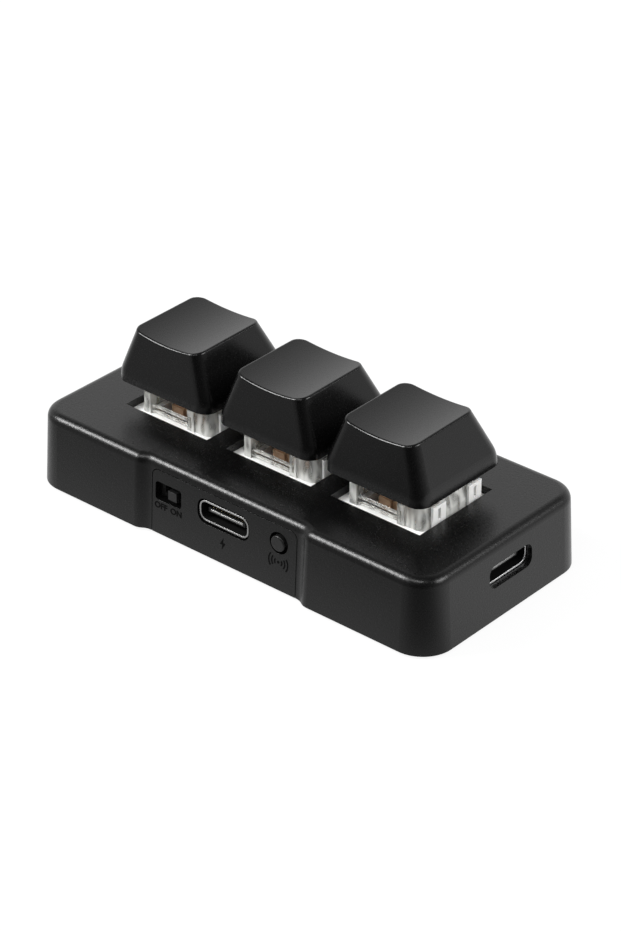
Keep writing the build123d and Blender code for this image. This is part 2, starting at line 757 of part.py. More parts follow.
def build_keycap(index, name):
    """Keycap: upright skirt, rounded shoulder, sloping faces, a dished top, and the boss for the cross."""
    ceiling = cap_height - cap_dish - cap_roof
    dish_half = cap_top_width / 2
    dish_radius = (dish_half * dish_half + cap_dish * cap_dish) / (2 * cap_dish)
    crest = cap_height + cap_dish
    top_run = cap_top_port_y + cap_top_user_y
    x, y = key_centre(index)
    dish_foot = Vector(x, y + (cap_top_user_y - cap_top_port_y) / 2, cap_seat + cap_height - cap_dish)
    with BuildPart() as cap:
        with BuildSketch(key_plane(index, switch_height)):
            RectangleRounded(cap_width, cap_width, cap_corner)
        extrude(amount=cap_band)
        with BuildSketch(key_plane(index, switch_height + cap_band)):
            RectangleRounded(cap_width, cap_width, cap_corner)
        with BuildSketch(key_plane(index, switch_height + crest)):
            cap_section(crest, 0, cap_top_corner)
        loft()
        shoulder = cap.edges().filter_by_position(Axis.Z, cap_seat + cap_band, cap_seat + cap_band)
        fillet(shoulder, cap_shoulder_radius)
        with BuildSketch(Plane(dish_foot, x_dir=(1, 0, 0), z_dir=(0, -top_run, -cap_top_rise))):
            with Locations((0, dish_radius)):
                Circle(dish_radius)
        extrude(amount=cap_width, both=True, mode=Mode.SUBTRACT)
        fillet(cap.faces().sort_by(Axis.Z)[-1].edges(), cap_edge_radius)
        with BuildSketch(key_plane(index, switch_height)):
            RectangleRounded(cap_width - 2 * cap_wall, cap_width - 2 * cap_wall, cap_inner_corner)
        extrude(amount=cap_band, mode=Mode.SUBTRACT)
        with BuildSketch(key_plane(index, switch_height + cap_band)):
            cap_section(cap_band, cap_wall, cap_inner_corner)
        with BuildSketch(key_plane(index, switch_height + ceiling)):
            cap_section(ceiling, cap_wall, cap_inner_corner)
        loft(mode=Mode.SUBTRACT)
        with BuildSketch(key_plane(index, switch_height)):
            Circle(cap_boss_diameter / 2)
        extrude(amount=ceiling + fit_gap)
        with BuildSketch(key_plane(index, switch_height + ceiling - cap_rib_height)):
            rib_half = cap_reach(cap_width / 2, cap_top_width / 2, ceiling) - cap_wall / 2
            Rectangle(2 * rib_half, cap_rib_thickness)
        extrude(amount=cap_rib_height + fit_gap)
        with BuildSketch(key_plane(index, switch_height)):
            Rectangle(cross_length + 2 * fit_gap, cross_arm_x + 2 * fit_gap)
            Rectangle(cross_arm_y + 2 * fit_gap, cross_length + 2 * fit_gap)
        extrude(amount=cap_socket_depth, mode=Mode.SUBTRACT)
    save(cap.part, name)


for index, key in enumerate(key_names):
    build_switch_base(index, f"switch_base_{key}")
    build_switch_cover(index, f"switch_cover_{key}")
    build_switch_stem(index, f"switch_stem_{key}")
    build_spring(index, f"switch_spring_{key}")
    build_contacts(index, f"switch_contacts_{key}")
    build_keycap(index, f"keycap_{key}")

samples = [step / 24 for step in range(24 * spring_turns + 1)]
apart = [
    (spring_point(a) - spring_point(b)).length for a in samples for b in samples if b - a > 1 / 2
]
print(f"spring: least gap between turns {min(apart) - spring_wire:.2f} mm")


def build_port(mouth, height, shell_name, insert_name):
    """Port: a drawn metal shell on two legs, and the insert that fills its rear and carries the tongue."""
    legs_down = height - board_bottom
    raise_height = height - port_height / 2 - board_top
    inner_width = port_width - 2 * port_metal
    inner_height = port_height - 2 * port_metal
    with BuildPart() as shell:
        with BuildSketch(mouth):
            RectangleRounded(port_width, port_height, port_corner)
            RectangleRounded(inner_width, inner_height, port_corner - port_metal, mode=Mode.SUBTRACT)
        extrude(amount=-port_length)
        with BuildSketch(mouth.offset(-port_leg_setback)):
            with Locations((-leg_middle, -legs_down / 2), (leg_middle, -legs_down / 2)):
                Rectangle(port_metal, legs_down)
        extrude(amount=-port_leg_width)
    save(shell.part, shell_name)
    with BuildPart() as insert:
        with BuildSketch(mouth.offset(-port_length)):
            with Locations((0, -raise_height / 2)):
                Rectangle(port_width, port_height + raise_height)
        extrude(amount=-port_rear)
        with BuildSketch(mouth.offset(-port_length)):
            plug_corner = port_corner - port_metal - fit_gap
            RectangleRounded(inner_width - 2 * fit_gap, inner_height - 2 * fit_gap, plug_corner)
        extrude(amount=port_plug_depth)
        with BuildSketch(mouth.offset(-port_length)):
            Rectangle(tongue_width, tongue_thickness)
        extrude(amount=port_length - tongue_setback)
        with BuildSketch(mouth.offset(-port_length)):
            with Locations((0, -(port_height + raise_height) / 2)):
                Rectangle(port_width - 2 * port_metal - 2 * pin_gap, raise_height)
        extrude(amount=port_length - port_leg_setback)
    save(insert.part, insert_name)


build_port(charge_plane, charge_z, "charge_port_shell", "charge_port_insert")
build_port(link_plane, link_z, "link_port_shell", "link_port_insert")

# Power slide switch: a hollow body with a slot in its front, and a carriage whose knob reaches the window.
# The slider is drawn at its on position, at the right-hand end of its travel.
slider_x = power_middle + power_travel / 2
slot_half = power_travel / 2 + power_knob_width / 2 + run_gap
carriage_y = power_front + power_body_wall + run_gap
with BuildPart() as power_switch_body:
    body_middle = power_front + power_body_depth / 2
    with BuildSketch(Plane((power_middle, body_middle, board_top))):
        Rectangle(power_body_length, power_body_depth)
    extrude(amount=power_body_height)
    with BuildSketch(facing_port(power_middle, carriage_y - run_gap, power_z)):
        chamber_width = power_carriage_width + power_travel + 2 * run_gap
        Rectangle(chamber_width, power_carriage_height + 2 * run_gap)
    extrude(amount=-(power_carriage_depth + 2 * run_gap), mode=Mode.SUBTRACT)
    with BuildSketch(facing_port(power_middle, power_front, power_z)):
        Rectangle(2 * slot_half, power_knob_height + 2 * run_gap)
    extrude(amount=-power_body_wall, mode=Mode.SUBTRACT)
    with BuildSketch(Plane.XY.offset(board_top)):
        with Locations(power_pins):
            Circle(power_pin_diameter / 2)
    extrude(amount=-board_thickness)
save(power_switch_body.part, "power_switch_body")

with BuildPart() as power_slider:
    with BuildSketch(facing_port(slider_x, carriage_y, power_z)):
        Rectangle(power_carriage_width, power_carriage_height)
    extrude(amount=-power_carriage_depth)
    with BuildSketch(facing_port(slider_x, carriage_y, power_z)):
        Rectangle(power_knob_width, power_knob_height)
    extrude(amount=carriage_y - port_face - wall_inset(power_z))
save(power_slider.part, "power_slider")

# Pairing push switch: a bored body, and a round button held in it by its collar.
collar_y = pair_front + pair_body_wall + run_gap
with BuildPart() as pair_switch_body:
    with BuildSketch(Plane((pair_middle, pair_front + pair_body_depth / 2, board_top))):
        Rectangle(pair_body_width, pair_body_depth)
    extrude(amount=pair_body_height)
    with BuildSketch(facing_port(pair_middle, pair_front, pair_z)):
        Circle(pair_button_diameter / 2 + run_gap)
    extrude(amount=-pair_body_wall, mode=Mode.SUBTRACT)
    with BuildSketch(facing_port(pair_middle, collar_y - run_gap, pair_z)):
        Circle(pair_collar_diameter / 2 + run_gap)
    extrude(amount=-(pair_collar_thickness + pair_travel + 2 * run_gap), mode=Mode.SUBTRACT)
    with BuildSketch(Plane.XY.offset(board_top)):
        with Locations(pair_pins):
            Circle(power_pin_diameter / 2)
    extrude(amount=-board_thickness)
save(pair_switch_body.part, "pair_switch_body")

with BuildPart() as pair_button:
    with BuildSketch(facing_port(pair_middle, collar_y, pair_z)):
        Circle(pair_collar_diameter / 2)
    extrude(amount=-pair_collar_thickness)
    with BuildSketch(facing_port(pair_middle, collar_y, pair_z)):
        Circle(pair_button_diameter / 2)
    extrude(amount=collar_y - port_face - wall_inset(pair_z) + pair_button_proud)
    fillet(pair_button.faces().sort_by(Axis.Y)[0].edges(), pair_button_edge)
save(pair_button.part, "pair_button")

# Battery pouch on its foam pad, along the user's side of the board, with two leads down to the board.
battery_depth = cavity_user - battery_wall_gap - battery_switch_gap - base_width / 2 - key_row_y
battery_room = screw_x - boss_diameter / 2 - lead_boss_gap
battery_length = 2 * (battery_room - lead_diameter / 2 - lead_reach - battery_flap)
battery_y = cavity_user - battery_wall_gap - battery_depth / 2
battery_bottom = board_top + battery_pad_height
with BuildPart() as battery_pad:
    with BuildSketch(Plane((0, battery_y, board_top))):
        Rectangle(battery_length - 2 * battery_edge, battery_depth - 2 * battery_edge)
    extrude(amount=battery_pad_height)
save(battery_pad.part, "battery_pad")

with BuildPart() as battery_cell:
    with BuildSketch(Plane((0, battery_y, battery_bottom))):
        Rectangle(battery_length, battery_depth)
    extrude(amount=battery_height)
    fillet(battery_cell.edges().filter_by(Axis.X), battery_edge)
    with BuildSketch(Plane((battery_length / 2, battery_y, battery_bottom + battery_height / 2))):
        Rectangle(2 * battery_flap, battery_depth - 2 * battery_edge)
    extrude(amount=battery_height / 2 - battery_edge)
save(battery_cell.part, "battery_cell")

lead_start = battery_length / 2 + battery_flap
lead_z = battery_bottom + battery_height * 5 / 8
with BuildPart() as battery_leads:
    for side in (-1, 1):
        lead_y = battery_y + side * lead_pitch / 2
        with BuildLine():
            FilletPolyline(
                (lead_start, lead_y, lead_z),
                (lead_start + lead_reach, lead_y, lead_z),
                (lead_start + lead_reach, lead_y, board_top),
                radius=lead_bend,
            )
        with BuildSketch(Plane((lead_start, lead_y, lead_z), z_dir=(1, 0, 0))):
            RegularPolygon(lead_diameter / 2, lead_sides)
        sweep()
save(battery_leads.part, "battery_leads")

# Chips and small parts on the left-hand end of the board.
chip_x = -case_length / 2 + chip_inset_x
with BuildPart() as controller_chip:
    with BuildSketch(Plane((chip_x, controller_y, board_top))):
        Rectangle(controller_width, controller_width)
    extrude(amount=controller_height)
save(controller_chip.part, "controller_chip")

with BuildPart() as charger_chip:
    with BuildSketch(Plane((chip_x, charger_y, board_top))):
        Rectangle(charger_width, charger_width)
    extrude(amount=charger_height)
save(charger_chip.part, "charger_chip")

with BuildPart() as clock_crystal:
    with BuildSketch(Plane((chip_x, crystal_y, board_top))):
        RectangleRounded(crystal_length, crystal_width, crystal_width / 4)
    extrude(amount=crystal_height)
save(clock_crystal.part, "clock_crystal")

with BuildPart() as board_passives:
    with BuildSketch(Plane((chip_x, passive_y, board_top))):
        with GridLocations(passive_pitch_x, passive_pitch_y, 2, 2):
            Rectangle(passive_length, passive_width)
    extrude(amount=passive_height)
save(board_passives.part, "board_passives")
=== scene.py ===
# %% [markdown]
# A three-key macro keypad: a low black case, three dished keys on open switches, a recess with a slide
# switch, a charging port and a push button, and a second port in one end. The solids come packed from
# the CAD model, in metres, with the desk at Z = 0. Here every surface gets its finish. We start by loading
# that frame. Nothing made here may change the size of the object.

# %% Load the frame
import json
import math

import bpy
from mathutils import Matrix, Vector


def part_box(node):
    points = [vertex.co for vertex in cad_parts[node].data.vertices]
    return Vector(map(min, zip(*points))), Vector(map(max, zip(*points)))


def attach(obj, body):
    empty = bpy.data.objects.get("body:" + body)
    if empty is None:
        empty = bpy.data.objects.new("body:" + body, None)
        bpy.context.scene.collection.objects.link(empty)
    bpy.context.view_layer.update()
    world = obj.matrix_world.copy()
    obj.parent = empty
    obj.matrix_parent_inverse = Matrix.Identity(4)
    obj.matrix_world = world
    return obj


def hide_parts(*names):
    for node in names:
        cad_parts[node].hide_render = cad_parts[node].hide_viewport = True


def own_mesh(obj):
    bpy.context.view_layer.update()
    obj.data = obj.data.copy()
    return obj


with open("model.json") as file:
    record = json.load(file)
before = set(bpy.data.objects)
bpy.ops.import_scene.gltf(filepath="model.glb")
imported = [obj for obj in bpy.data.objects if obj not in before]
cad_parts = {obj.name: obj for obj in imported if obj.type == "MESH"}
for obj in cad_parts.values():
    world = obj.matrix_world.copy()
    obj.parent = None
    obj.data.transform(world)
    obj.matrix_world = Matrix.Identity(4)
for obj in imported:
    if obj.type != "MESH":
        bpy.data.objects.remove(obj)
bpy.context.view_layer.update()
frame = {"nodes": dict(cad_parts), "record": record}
nodes = frame["nodes"]
MM = 0.001

# %% [markdown]
# The photograph was taken with a long lens from above the corner between the ports and the end port.
# A camera could be aimed by hand, but the straight edges of the case fix its angle, so we write the angle,
# the distance and the point that it looks at, and work out the rest. The sensor's 36 mm lie along the
# picture's long side. The lamps are aimed in the same way later, so aiming is a helper.

# %% Camera
VIEW_AZIMUTH = math.radians(40.93)
VIEW_ELEVATION = math.radians(30.71)
VIEW_DISTANCE = 436.96 * MM
VIEW_TARGET = Vector((0.403, 1.016, 8.55)) * MM
FOCAL_PIXELS = 3144.84
PICTURE_HEIGHT_PIXELS = 931
SENSOR_MM = 36.0
NEAREST_SEEN = 0.01
FARTHEST_SEEN = 20.0


def show(thing):
    """Put an object in the scene."""
    bpy.context.scene.collection.objects.link(thing)


def towards_viewer(azimuth, elevation):
    """Direction from the object to someone who looks at it from these angles."""
    flat = math.cos(elevation)
    return Vector((math.sin(azimuth) * flat, -math.cos(azimuth) * flat, math.sin(elevation)))


def face_keypad(thing, azimuth, elevation, distance):
    """Show a camera or a lamp at these angles and this distance, turned to the keypad."""
    outward = towards_viewer(azimuth, elevation)
    thing.location = VIEW_TARGET + distance * outward
    thing.rotation_mode = "QUATERNION"
    thing.rotation_quaternion = (-outward).to_track_quat("-Z", "Y")
    show(thing)


lens = bpy.data.cameras.new("photo_camera")
lens.sensor_width = SENSOR_MM
lens.lens = FOCAL_PIXELS / PICTURE_HEIGHT_PIXELS * SENSOR_MM
lens.clip_start = NEAREST_SEEN
lens.clip_end = FARTHEST_SEEN
camera = bpy.data.objects.new("photo_camera", lens)
face_keypad(camera, VIEW_AZIMUTH, VIEW_ELEVATION, VIEW_DISTANCE)
bpy.context.scene.camera = camera
print("camera lens in mm:", round(lens.lens, 1))

# %% [markdown]
# A finish is a small network of shader nodes. Wiring nodes one by one hides the idea in bookkeeping, so we
# wrap a socket in a class that does sums: adding two of them makes a Math node. One method makes any other
# node: its settings are set first, because they decide which sockets the node has, and then its sockets.


# %% Shader sums
def tone(value):
    """A grey, or a colour of three values, with its alpha."""
    red, green, blue = value if isinstance(value, tuple) else (value, value, value)
    return (red, green, blue, 1.0)


class Wire:
    """An output socket that takes part in sums, and makes further nodes in its own tree."""

    def __init__(self, tree, socket=None):
        self.tree = tree
        self.socket = socket

    def node(self, kind, settings=None, sockets=None, output=None):
        """Add a node, set its settings and then its sockets, and return one of its outputs."""
        made = self.tree.nodes.new(kind)
        for name, value in (settings or {}).items():
            setattr(made, name, value)
        for name, value in (sockets or {}).items():
            entry = next(s for s in made.inputs if s.enabled and name in (s.name, s.identifier))
            if isinstance(value, Wire):
                self.tree.links.new(value.socket, entry)
            else:
                entry.default_value = value
        found = [s for s in made.outputs if s.enabled and output in (None, s.name)]
        return Wire(self.tree, found[0] if found else None)

    def sum(self, operation, first, second):
        """One Math node."""
        values = {"Value": first, "Value_001": second}
        return self.node("ShaderNodeMath", {"operation": operation}, values)

    def __add__(self, other):
        return self.sum("ADD", self, other)

    def __radd__(self, other):
        return self.sum("ADD", other, self)

    def __sub__(self, other):
        return self.sum("SUBTRACT", self, other)

    def __rsub__(self, other):
        return self.sum("SUBTRACT", other, self)

    def __mul__(self, other):
        return self.sum("MULTIPLY", self, other)

    def __rmul__(self, other):
        return self.sum("MULTIPLY", other, self)

    def larger(self, other):
        """The larger one of two values."""
        return self.sum("MAXIMUM", self, other)

    def band(self, low, high):
        """This value stretched so that low becomes 0 and high becomes 1, and held there."""
        sockets = {"Value": self, "From Min": low, "From Max": high}
        return self.node("ShaderNodeMapRange", {"interpolation_type": "SMOOTHSTEP"}, sockets)

    def between(self, low, high):
        """A value that goes from low to high as this one goes from 0 to 1."""
        return low + (high - low) * self

    def blend(self, low, high):
        """A colour between two tones or colours, with this value as the share of the second."""
        low, high = (c if isinstance(c, Wire) else tone(c) for c in (low, high))
        sockets = {"Factor_Float": self, "A_Color": low, "B_Color": high}
        return self.node("ShaderNodeMix", {"data_type": "RGBA"}, sockets, "Result")

    def along(self, direction):
        """How far this vector reaches along a direction."""
        sockets = {"Vector": self, "Vector_001": direction}
        return self.node("ShaderNodeVectorMath", {"operation": "DOT_PRODUCT"}, sockets, "Value")

    def stretched(self, factors):
        """This vector with each of its axes multiplied by its own factor."""
        sockets = {"Vector": self, "Vector_001": factors}
        return self.node("ShaderNodeVectorMath", {"operation": "MULTIPLY"}, sockets)

    def noise(self, scale, detail=2.0, roughness=0.5):
        """Noise over this place, with its scale in lumps per metre."""
        sockets = {"Vector": self, "Scale": scale, "Detail": detail, "Roughness": roughness}
        return self.node("ShaderNodeTexNoise", {}, sockets)

    def bump(self, depth, strength, normal=None):
        """A surface normal that follows this height, whose full range is a depth in metres."""
        sockets = {"Height": self, "Distance": depth, "Strength": strength}
        if normal is not None:
            sockets["Normal"] = normal
        return self.node("ShaderNodeBump", {}, sockets)


print("shader sums:", [name for name in vars(Wire) if not name.startswith("_")])


# %% Start and close a finish
def new_finish(name):
    """An empty material, and a wire that carries the place on the surface in metres."""
    made = bpy.data.materials.new(name)
    made.use_nodes = True
    made.node_tree.nodes.clear()
    return made, Wire(made.node_tree).node("ShaderNodeTexCoord", output="Object")


def close_with(shader):
    """Close a finish with a shader."""
    shader.node("ShaderNodeOutputMaterial", {}, {"Surface": shader})


def coat_with(place, sockets):
    """Close a finish with the surface shader and these values or wires."""
    close_with(place.node("ShaderNodeBsdfPrincipled", {}, sockets))


finishes = {}
print("finishes so far:", len(finishes))

# %% [markdown]
# The case and the keys are moulded in black plastic. The case's mould is etched, which leaves a fine grain
# that breaks highlights into sparkles; the keys come from a finer mould and look smoother. Both are one
# function with other numbers: fine noise for the grain's height, a little of it in the roughness, and a
# slow noise that shifts the black, as flow in the mould and handling do. Every moulded edge is slightly
# round and a little polished by hands. A bevel node gives the normal of such a rounded edge, and where it
# leaves the face's own normal, the plastic is smoother and painted a shade lighter: partly wear, and partly
# a painted highlight, which lies along every edge, seams included.

# %% Black plastics
BEVEL_SAMPLES = 4
EDGE_RADIUS = 0.025 * MM
EDGE_TURN = 0.12
EDGE_SHARE = 0.6
# How much lighter edges are painted: partly wear, partly a painted highlight.
EDGE_WEAR_AND_SHEEN = 2.0
EDGE_POLISH = 0.05
FLOW_PER_METRE = 90.0
FLOW_DARK, FLOW_LIGHT = 0.8, 1.25
FLOW_ROUGHNESS = 0.05
GRAIN_ROUGHNESS = 0.25
BLACKS = {  # grain per metre, its depth and strength; roughness, black, specular level
    "case_black": (3200.0, 0.022 * MM, 0.9, 0.15, 0.0017, 0.35),
    "keycap_black": (3800.0, 0.007 * MM, 0.9, 0.09, 0.0017, 0.35),
    "control_black": (4000.0, 0.012 * MM, 0.4, 0.20, 0.0060, 0.34),
    "component_black": (6000.0, 0.010 * MM, 0.5, 0.35, 0.0090, 0.30),
    "port_insert": (5000.0, 0.008 * MM, 0.3, 0.30, 0.0040, 0.22),
    "foot_rubber": (2500.0, 0.020 * MM, 0.5, 0.60, 0.0120, 0.30),
    "mark_black": (5000.0, 0.006 * MM, 0.3, 0.45, 0.0010, 0.06),
}


def rounded(place, radius):
    """The normal of a surface whose edges are rounded by a radius."""
    return place.node("ShaderNodeBevel", {"samples": BEVEL_SAMPLES}, {"Radius": radius})


def on_edges(round_normal):
    """1 where a rounded normal leaves the face's own, and 0 away from edges."""
    face_normal = round_normal.node("ShaderNodeNewGeometry", output="Normal")
    return (1.0 - round_normal.along(face_normal)).band(0.0, EDGE_TURN)


def black_plastic(name, grain_per_metre, grain_depth, grain_strength, roughness, black, specular):
    made, place = new_finish(name)
    grain = place.noise(grain_per_metre, detail=3.0, roughness=0.6)
    flow = place.noise(FLOW_PER_METRE)
    round_normal = rounded(place, EDGE_RADIUS)
    edge = on_edges(round_normal)
    body = flow.blend(black * FLOW_DARK, black * FLOW_LIGHT)
    coat_with(place, {
        # Every edge is painted lighter, partly as wear and partly as a painted highlight.
        "Base Color": (EDGE_SHARE * edge).blend(body, black * EDGE_WEAR_AND_SHEEN),
        "Roughness": roughness + GRAIN_ROUGHNESS * grain + FLOW_ROUGHNESS * flow - EDGE_POLISH * edge,
        "Normal": grain.bump(grain_depth, grain_strength, round_normal),
        "Specular IOR Level": specular,
    })
    return made


for name, numbers in BLACKS.items():
    finishes[name] = black_plastic(name, *numbers)
print("black plastics:", list(BLACKS))

# %% [markdown]
# A switch is made of three other plastics. Its lower housing is white nylon, which lets a little light in;
# its upper housing is clear polycarbonate; its stem is brown acetal, which is slippery and slightly glossy.
# A thin clear moulding is hard to read as plain glass, because light runs along inside its walls and leaves
# them in pale patches. So the clear finish mixes a see-through shader with a milky white one, and soft
# cloudy noise, stretched upwards, says how much of each.

# %% Switch plastics
NYLON_WHITES = (0.86, 0.86, 0.84), (0.92, 0.92, 0.91)
NYLON_ROUGHNESS = (0.34, 0.46)
NYLON_GLOW = 0.25
NYLON_GLOW_DEPTH = 0.6 * MM
NYLON_GLOW_COLOUR = (0.6, 0.55, 0.5)
CLEAR_TINT = (0.97, 0.975, 0.95)
CLEAR_ROUGHNESS = (0.02, 0.06)
CLEAR_REFRACTION = 1.5
MILKY_WHITES = (0.90, 0.905, 0.86), (0.96, 0.965, 0.94)
MILKY_ROUGHNESS = (0.12, 0.18)
MILKY_SHARE = (0.20, 0.66)
PATCHES_PER_METRE = (1100.0, 1100.0, 420.0)
PATCH_EDGES = (0.32, 0.68)
ACETAL_BROWNS = (0.50, 0.31, 0.18), (0.62, 0.42, 0.29)
ACETAL_ROUGHNESS = (0.30, 0.40)


def white_nylon(name):
    made, place = new_finish(name)
    cloud = place.noise(scale=400.0)
    skin = place.noise(scale=5200.0)
    coat_with(place, {
        "Base Color": cloud.blend(*NYLON_WHITES),
        "Roughness": skin.between(*NYLON_ROUGHNESS),
        "Normal": skin.bump(depth=0.008 * MM, strength=0.3),
        "Subsurface Weight": NYLON_GLOW,
        "Subsurface Radius": NYLON_GLOW_COLOUR,
        "Subsurface Scale": NYLON_GLOW_DEPTH,
    })
    return made


def clear_polycarbonate(name):
    made, place = new_finish(name)
    ripple = place.noise(scale=900.0, detail=1.0)
    patch = place.stretched(PATCHES_PER_METRE).noise(scale=1.0, detail=0.5).band(*PATCH_EDGES)
    wavy = ripple.bump(depth=0.03 * MM, strength=0.4)
    clear = place.node("ShaderNodeBsdfPrincipled", {}, {
        "Base Color": tone(CLEAR_TINT),
        "Roughness": ripple.between(*CLEAR_ROUGHNESS),
        "Normal": wavy,
        "Transmission Weight": 1.0,
        "IOR": CLEAR_REFRACTION,
    })
    milky = place.node("ShaderNodeBsdfPrincipled", {}, {
        "Base Color": ripple.blend(*MILKY_WHITES),
        "Roughness": ripple.between(*MILKY_ROUGHNESS),
        "Normal": wavy,
        "IOR": CLEAR_REFRACTION,
    })
    sockets = {"Fac": patch.between(*MILKY_SHARE), "Shader": clear, "Shader_001": milky}
    close_with(place.node("ShaderNodeMixShader", {}, sockets))
    return made


def brown_acetal(name):
    made, place = new_finish(name)
    flow = place.noise(scale=500.0)
    coat_with(place, {
        "Base Color": flow.blend(*ACETAL_BROWNS),
        "Roughness": flow.between(*ACETAL_ROUGHNESS),
        "Normal": flow.bump(depth=0.01 * MM, strength=0.2),
    })
    return made


finishes["switch_white"] = white_nylon("switch_white")
finishes["switch_clear"] = clear_polycarbonate("switch_clear")
finishes["stem_brown"] = brown_acetal("stem_brown")
print("finishes so far:", len(finishes))

# %% [markdown]
# The metal pieces are the drawn steel shells of the ports, the springs, the contact blades and the screws.
# Sheet metal shows the lines of rolling and drawing, so its grain is noise stretched along one direction.
# The scale of that noise is a vector, small along the lines and large across them. Inside the two port
# shells the metal is painted near black, as painted shade where little light falls, and the end port's rim
# is painted lighter, as a painted highlight, so the shells are bright only at their mouths. The rims are
# slightly round, as bent sheet is, and catch light also where they lie deep.

# %% Metals
ALONG_X, ALONG_Y, UPWARDS = (Vector(axis) for axis in ((1, 0, 0), (0, 1, 0), (0, 0, 1)))
RIM_DEPTH = 0.10 * MM
# Painted shade: the near black inside both port shells.
INSIDE_SHADE_TONE = 0.035
# Painted highlight: the lighter rim of the end port.
LINK_RIM_HIGHLIGHT_TONE = 0.92
SHEET_ROUNDING = 0.15 * MM
LINE_DEPTH = 0.002 * MM
LINE_STRENGTH = 0.20
LINE_ROUGHNESS = 0.12
STAINS_PER_METRE = 600.0
STAIN_SHADE = 0.82
STAIN_ROUGHNESS = 0.06
charge_lo, charge_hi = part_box("charge_port_shell")
link_lo, link_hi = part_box("link_port_shell")


def painted_shade_inside_ports(place, sheet):
    """The sheet's colour at the mouth facing -Y, a painted highlight at the rim facing +X, and painted
    shade, near black, inside both shells.
    """
    charge_front, link_front = -charge_lo.y, link_hi.x
    charge_rim = place.along(-ALONG_Y).band(charge_front - RIM_DEPTH, charge_front - RIM_DEPTH / 2)
    link_rim = place.along(ALONG_X).band(link_front - RIM_DEPTH, link_front - RIM_DEPTH / 2)
    # Painted shade inside both shells, and a painted highlight on the end port's rim.
    return link_rim.blend(charge_rim.blend(INSIDE_SHADE_TONE, sheet), LINK_RIM_HIGHLIGHT_TONE)


def drawn_metal(name, colour, grain_per_metre, roughness, shade=None):
    made, place = new_finish(name)
    grain = place.stretched(grain_per_metre).noise(scale=1.0)
    stain = place.noise(STAINS_PER_METRE, detail=3.0)
    sheet = stain.blend(tuple(STAIN_SHADE * c for c in colour), colour)
    coat_with(place, {
        "Base Color": shade(place, sheet) if shade else sheet,
        "Metallic": 1.0,
        "Roughness": roughness + LINE_ROUGHNESS * grain + STAIN_ROUGHNESS * stain,
        "Normal": grain.bump(LINE_DEPTH, LINE_STRENGTH, rounded(place, SHEET_ROUNDING)),
    })
    return made


ALL_WAYS = (3000.0, 3000.0, 3000.0)
METALS = {  # colour, grain per metre along each axis, roughness, and what shades it
    # The port shells get painted shade inside and a painted highlight on the end port's rim.
    "port_steel": ((0.46, 0.46, 0.455), (700.0, 700.0, 9000.0), 0.47, painted_shade_inside_ports),
    "plate_steel": ((0.40, 0.40, 0.395), ALL_WAYS, 0.30),
    "spring_steel": ((0.60, 0.60, 0.62), ALL_WAYS, 0.22),
    "contact_brass": ((0.50, 0.39, 0.21), ALL_WAYS, 0.34),
    "screw_steel": ((0.16, 0.16, 0.165), ALL_WAYS, 0.34),
    "battery_foil": ((0.62, 0.63, 0.64), (900.0, 2600.0, 2600.0), 0.38),
}
for name, numbers in METALS.items():
    finishes[name] = drawn_metal(name, *numbers)
print("metals:", list(METALS))

# %% [markdown]
# The rest is inside the case: the lacquered circuit board, whose copper tracks show as slightly raised
# lines under the lacquer, the foam pad and leads of the battery, and the small ceramic parts. Edges of
# random cells stand for the tracks, and lumpy noise is enough for the others.

# %% Board, foam, leads and ceramics
LACQUER_GREEN, TRACK_GREEN = (0.012, 0.085, 0.035), (0.03, 0.16, 0.06)
LACQUER_ROUGHNESS = (0.24, 0.34)
LACQUER_COAT = 0.3
TRACKS_PER_METRE = 420.0
TRACK_EDGES = (0.03, 0.07)
LUMP_ROUGHNESS = 0.15
DULL_STUFFS = {  # two shades, lumps per metre, their depth, roughness
    "pad_foam": ((0.03, 0.03, 0.032), (0.06, 0.06, 0.062), 4000.0, 0.08 * MM, 0.8),
    "lead_red": ((0.45, 0.02, 0.015), (0.55, 0.035, 0.025), 900.0, 0.01 * MM, 0.35),
    "passive_tan": ((0.36, 0.25, 0.16), (0.45, 0.33, 0.22), 3500.0, 0.01 * MM, 0.5),
}


def board_lacquer(name):
    made, place = new_finish(name)
    sockets = {"Vector": place, "Scale": TRACKS_PER_METRE}
    cells = place.node("ShaderNodeTexVoronoi", {"feature": "DISTANCE_TO_EDGE"}, sockets)
    line = 1.0 - cells.band(*TRACK_EDGES)
    speck = place.noise(scale=3000.0)
    coat_with(place, {
        "Base Color": line.blend(LACQUER_GREEN, TRACK_GREEN),
        "Roughness": speck.between(*LACQUER_ROUGHNESS),
        "Normal": line.bump(depth=0.03 * MM, strength=0.5),
        "Coat Weight": LACQUER_COAT,
    })
    return made


def dull_stuff(name, low, high, lumps_per_metre, depth, roughness):
    made, place = new_finish(name)
    lump = place.noise(lumps_per_metre, detail=4.0, roughness=0.6)
    coat_with(place, {
        "Base Color": lump.blend(low, high),
        "Roughness": roughness + LUMP_ROUGHNESS * lump,
        "Normal": lump.bump(depth, strength=0.6),
    })
    return made


finishes["board_green"] = board_lacquer("board_green")
for name, numbers in DULL_STUFFS.items():
    finishes[name] = dull_stuff(name, *numbers)
print("finishes:", len(finishes))

# %% [markdown]
# Each solid now takes its finish. The record gives the material slot of every node, so we follow it, and a
# slot without a finish would stop the script. Flat facets would show in the highlights of rounded edges, so
# faces that meet at a small angle are shaded as one smooth surface.

# %% Dress the solids
SMOOTH_ANGLE = math.radians(32)
slot_of = {row["node"]: row["material_slot"] for row in frame["record"]["subparts"]}
for name, solid in nodes.items():
    for holder in solid.material_slots:
        holder.material = finishes[slot_of[name]]
    solid.data.shade_smooth()
    solid.data.set_sharp_from_angle(angle=SMOOTH_ANGLE)
print("dressed:", len(slot_of), "of", len(nodes))

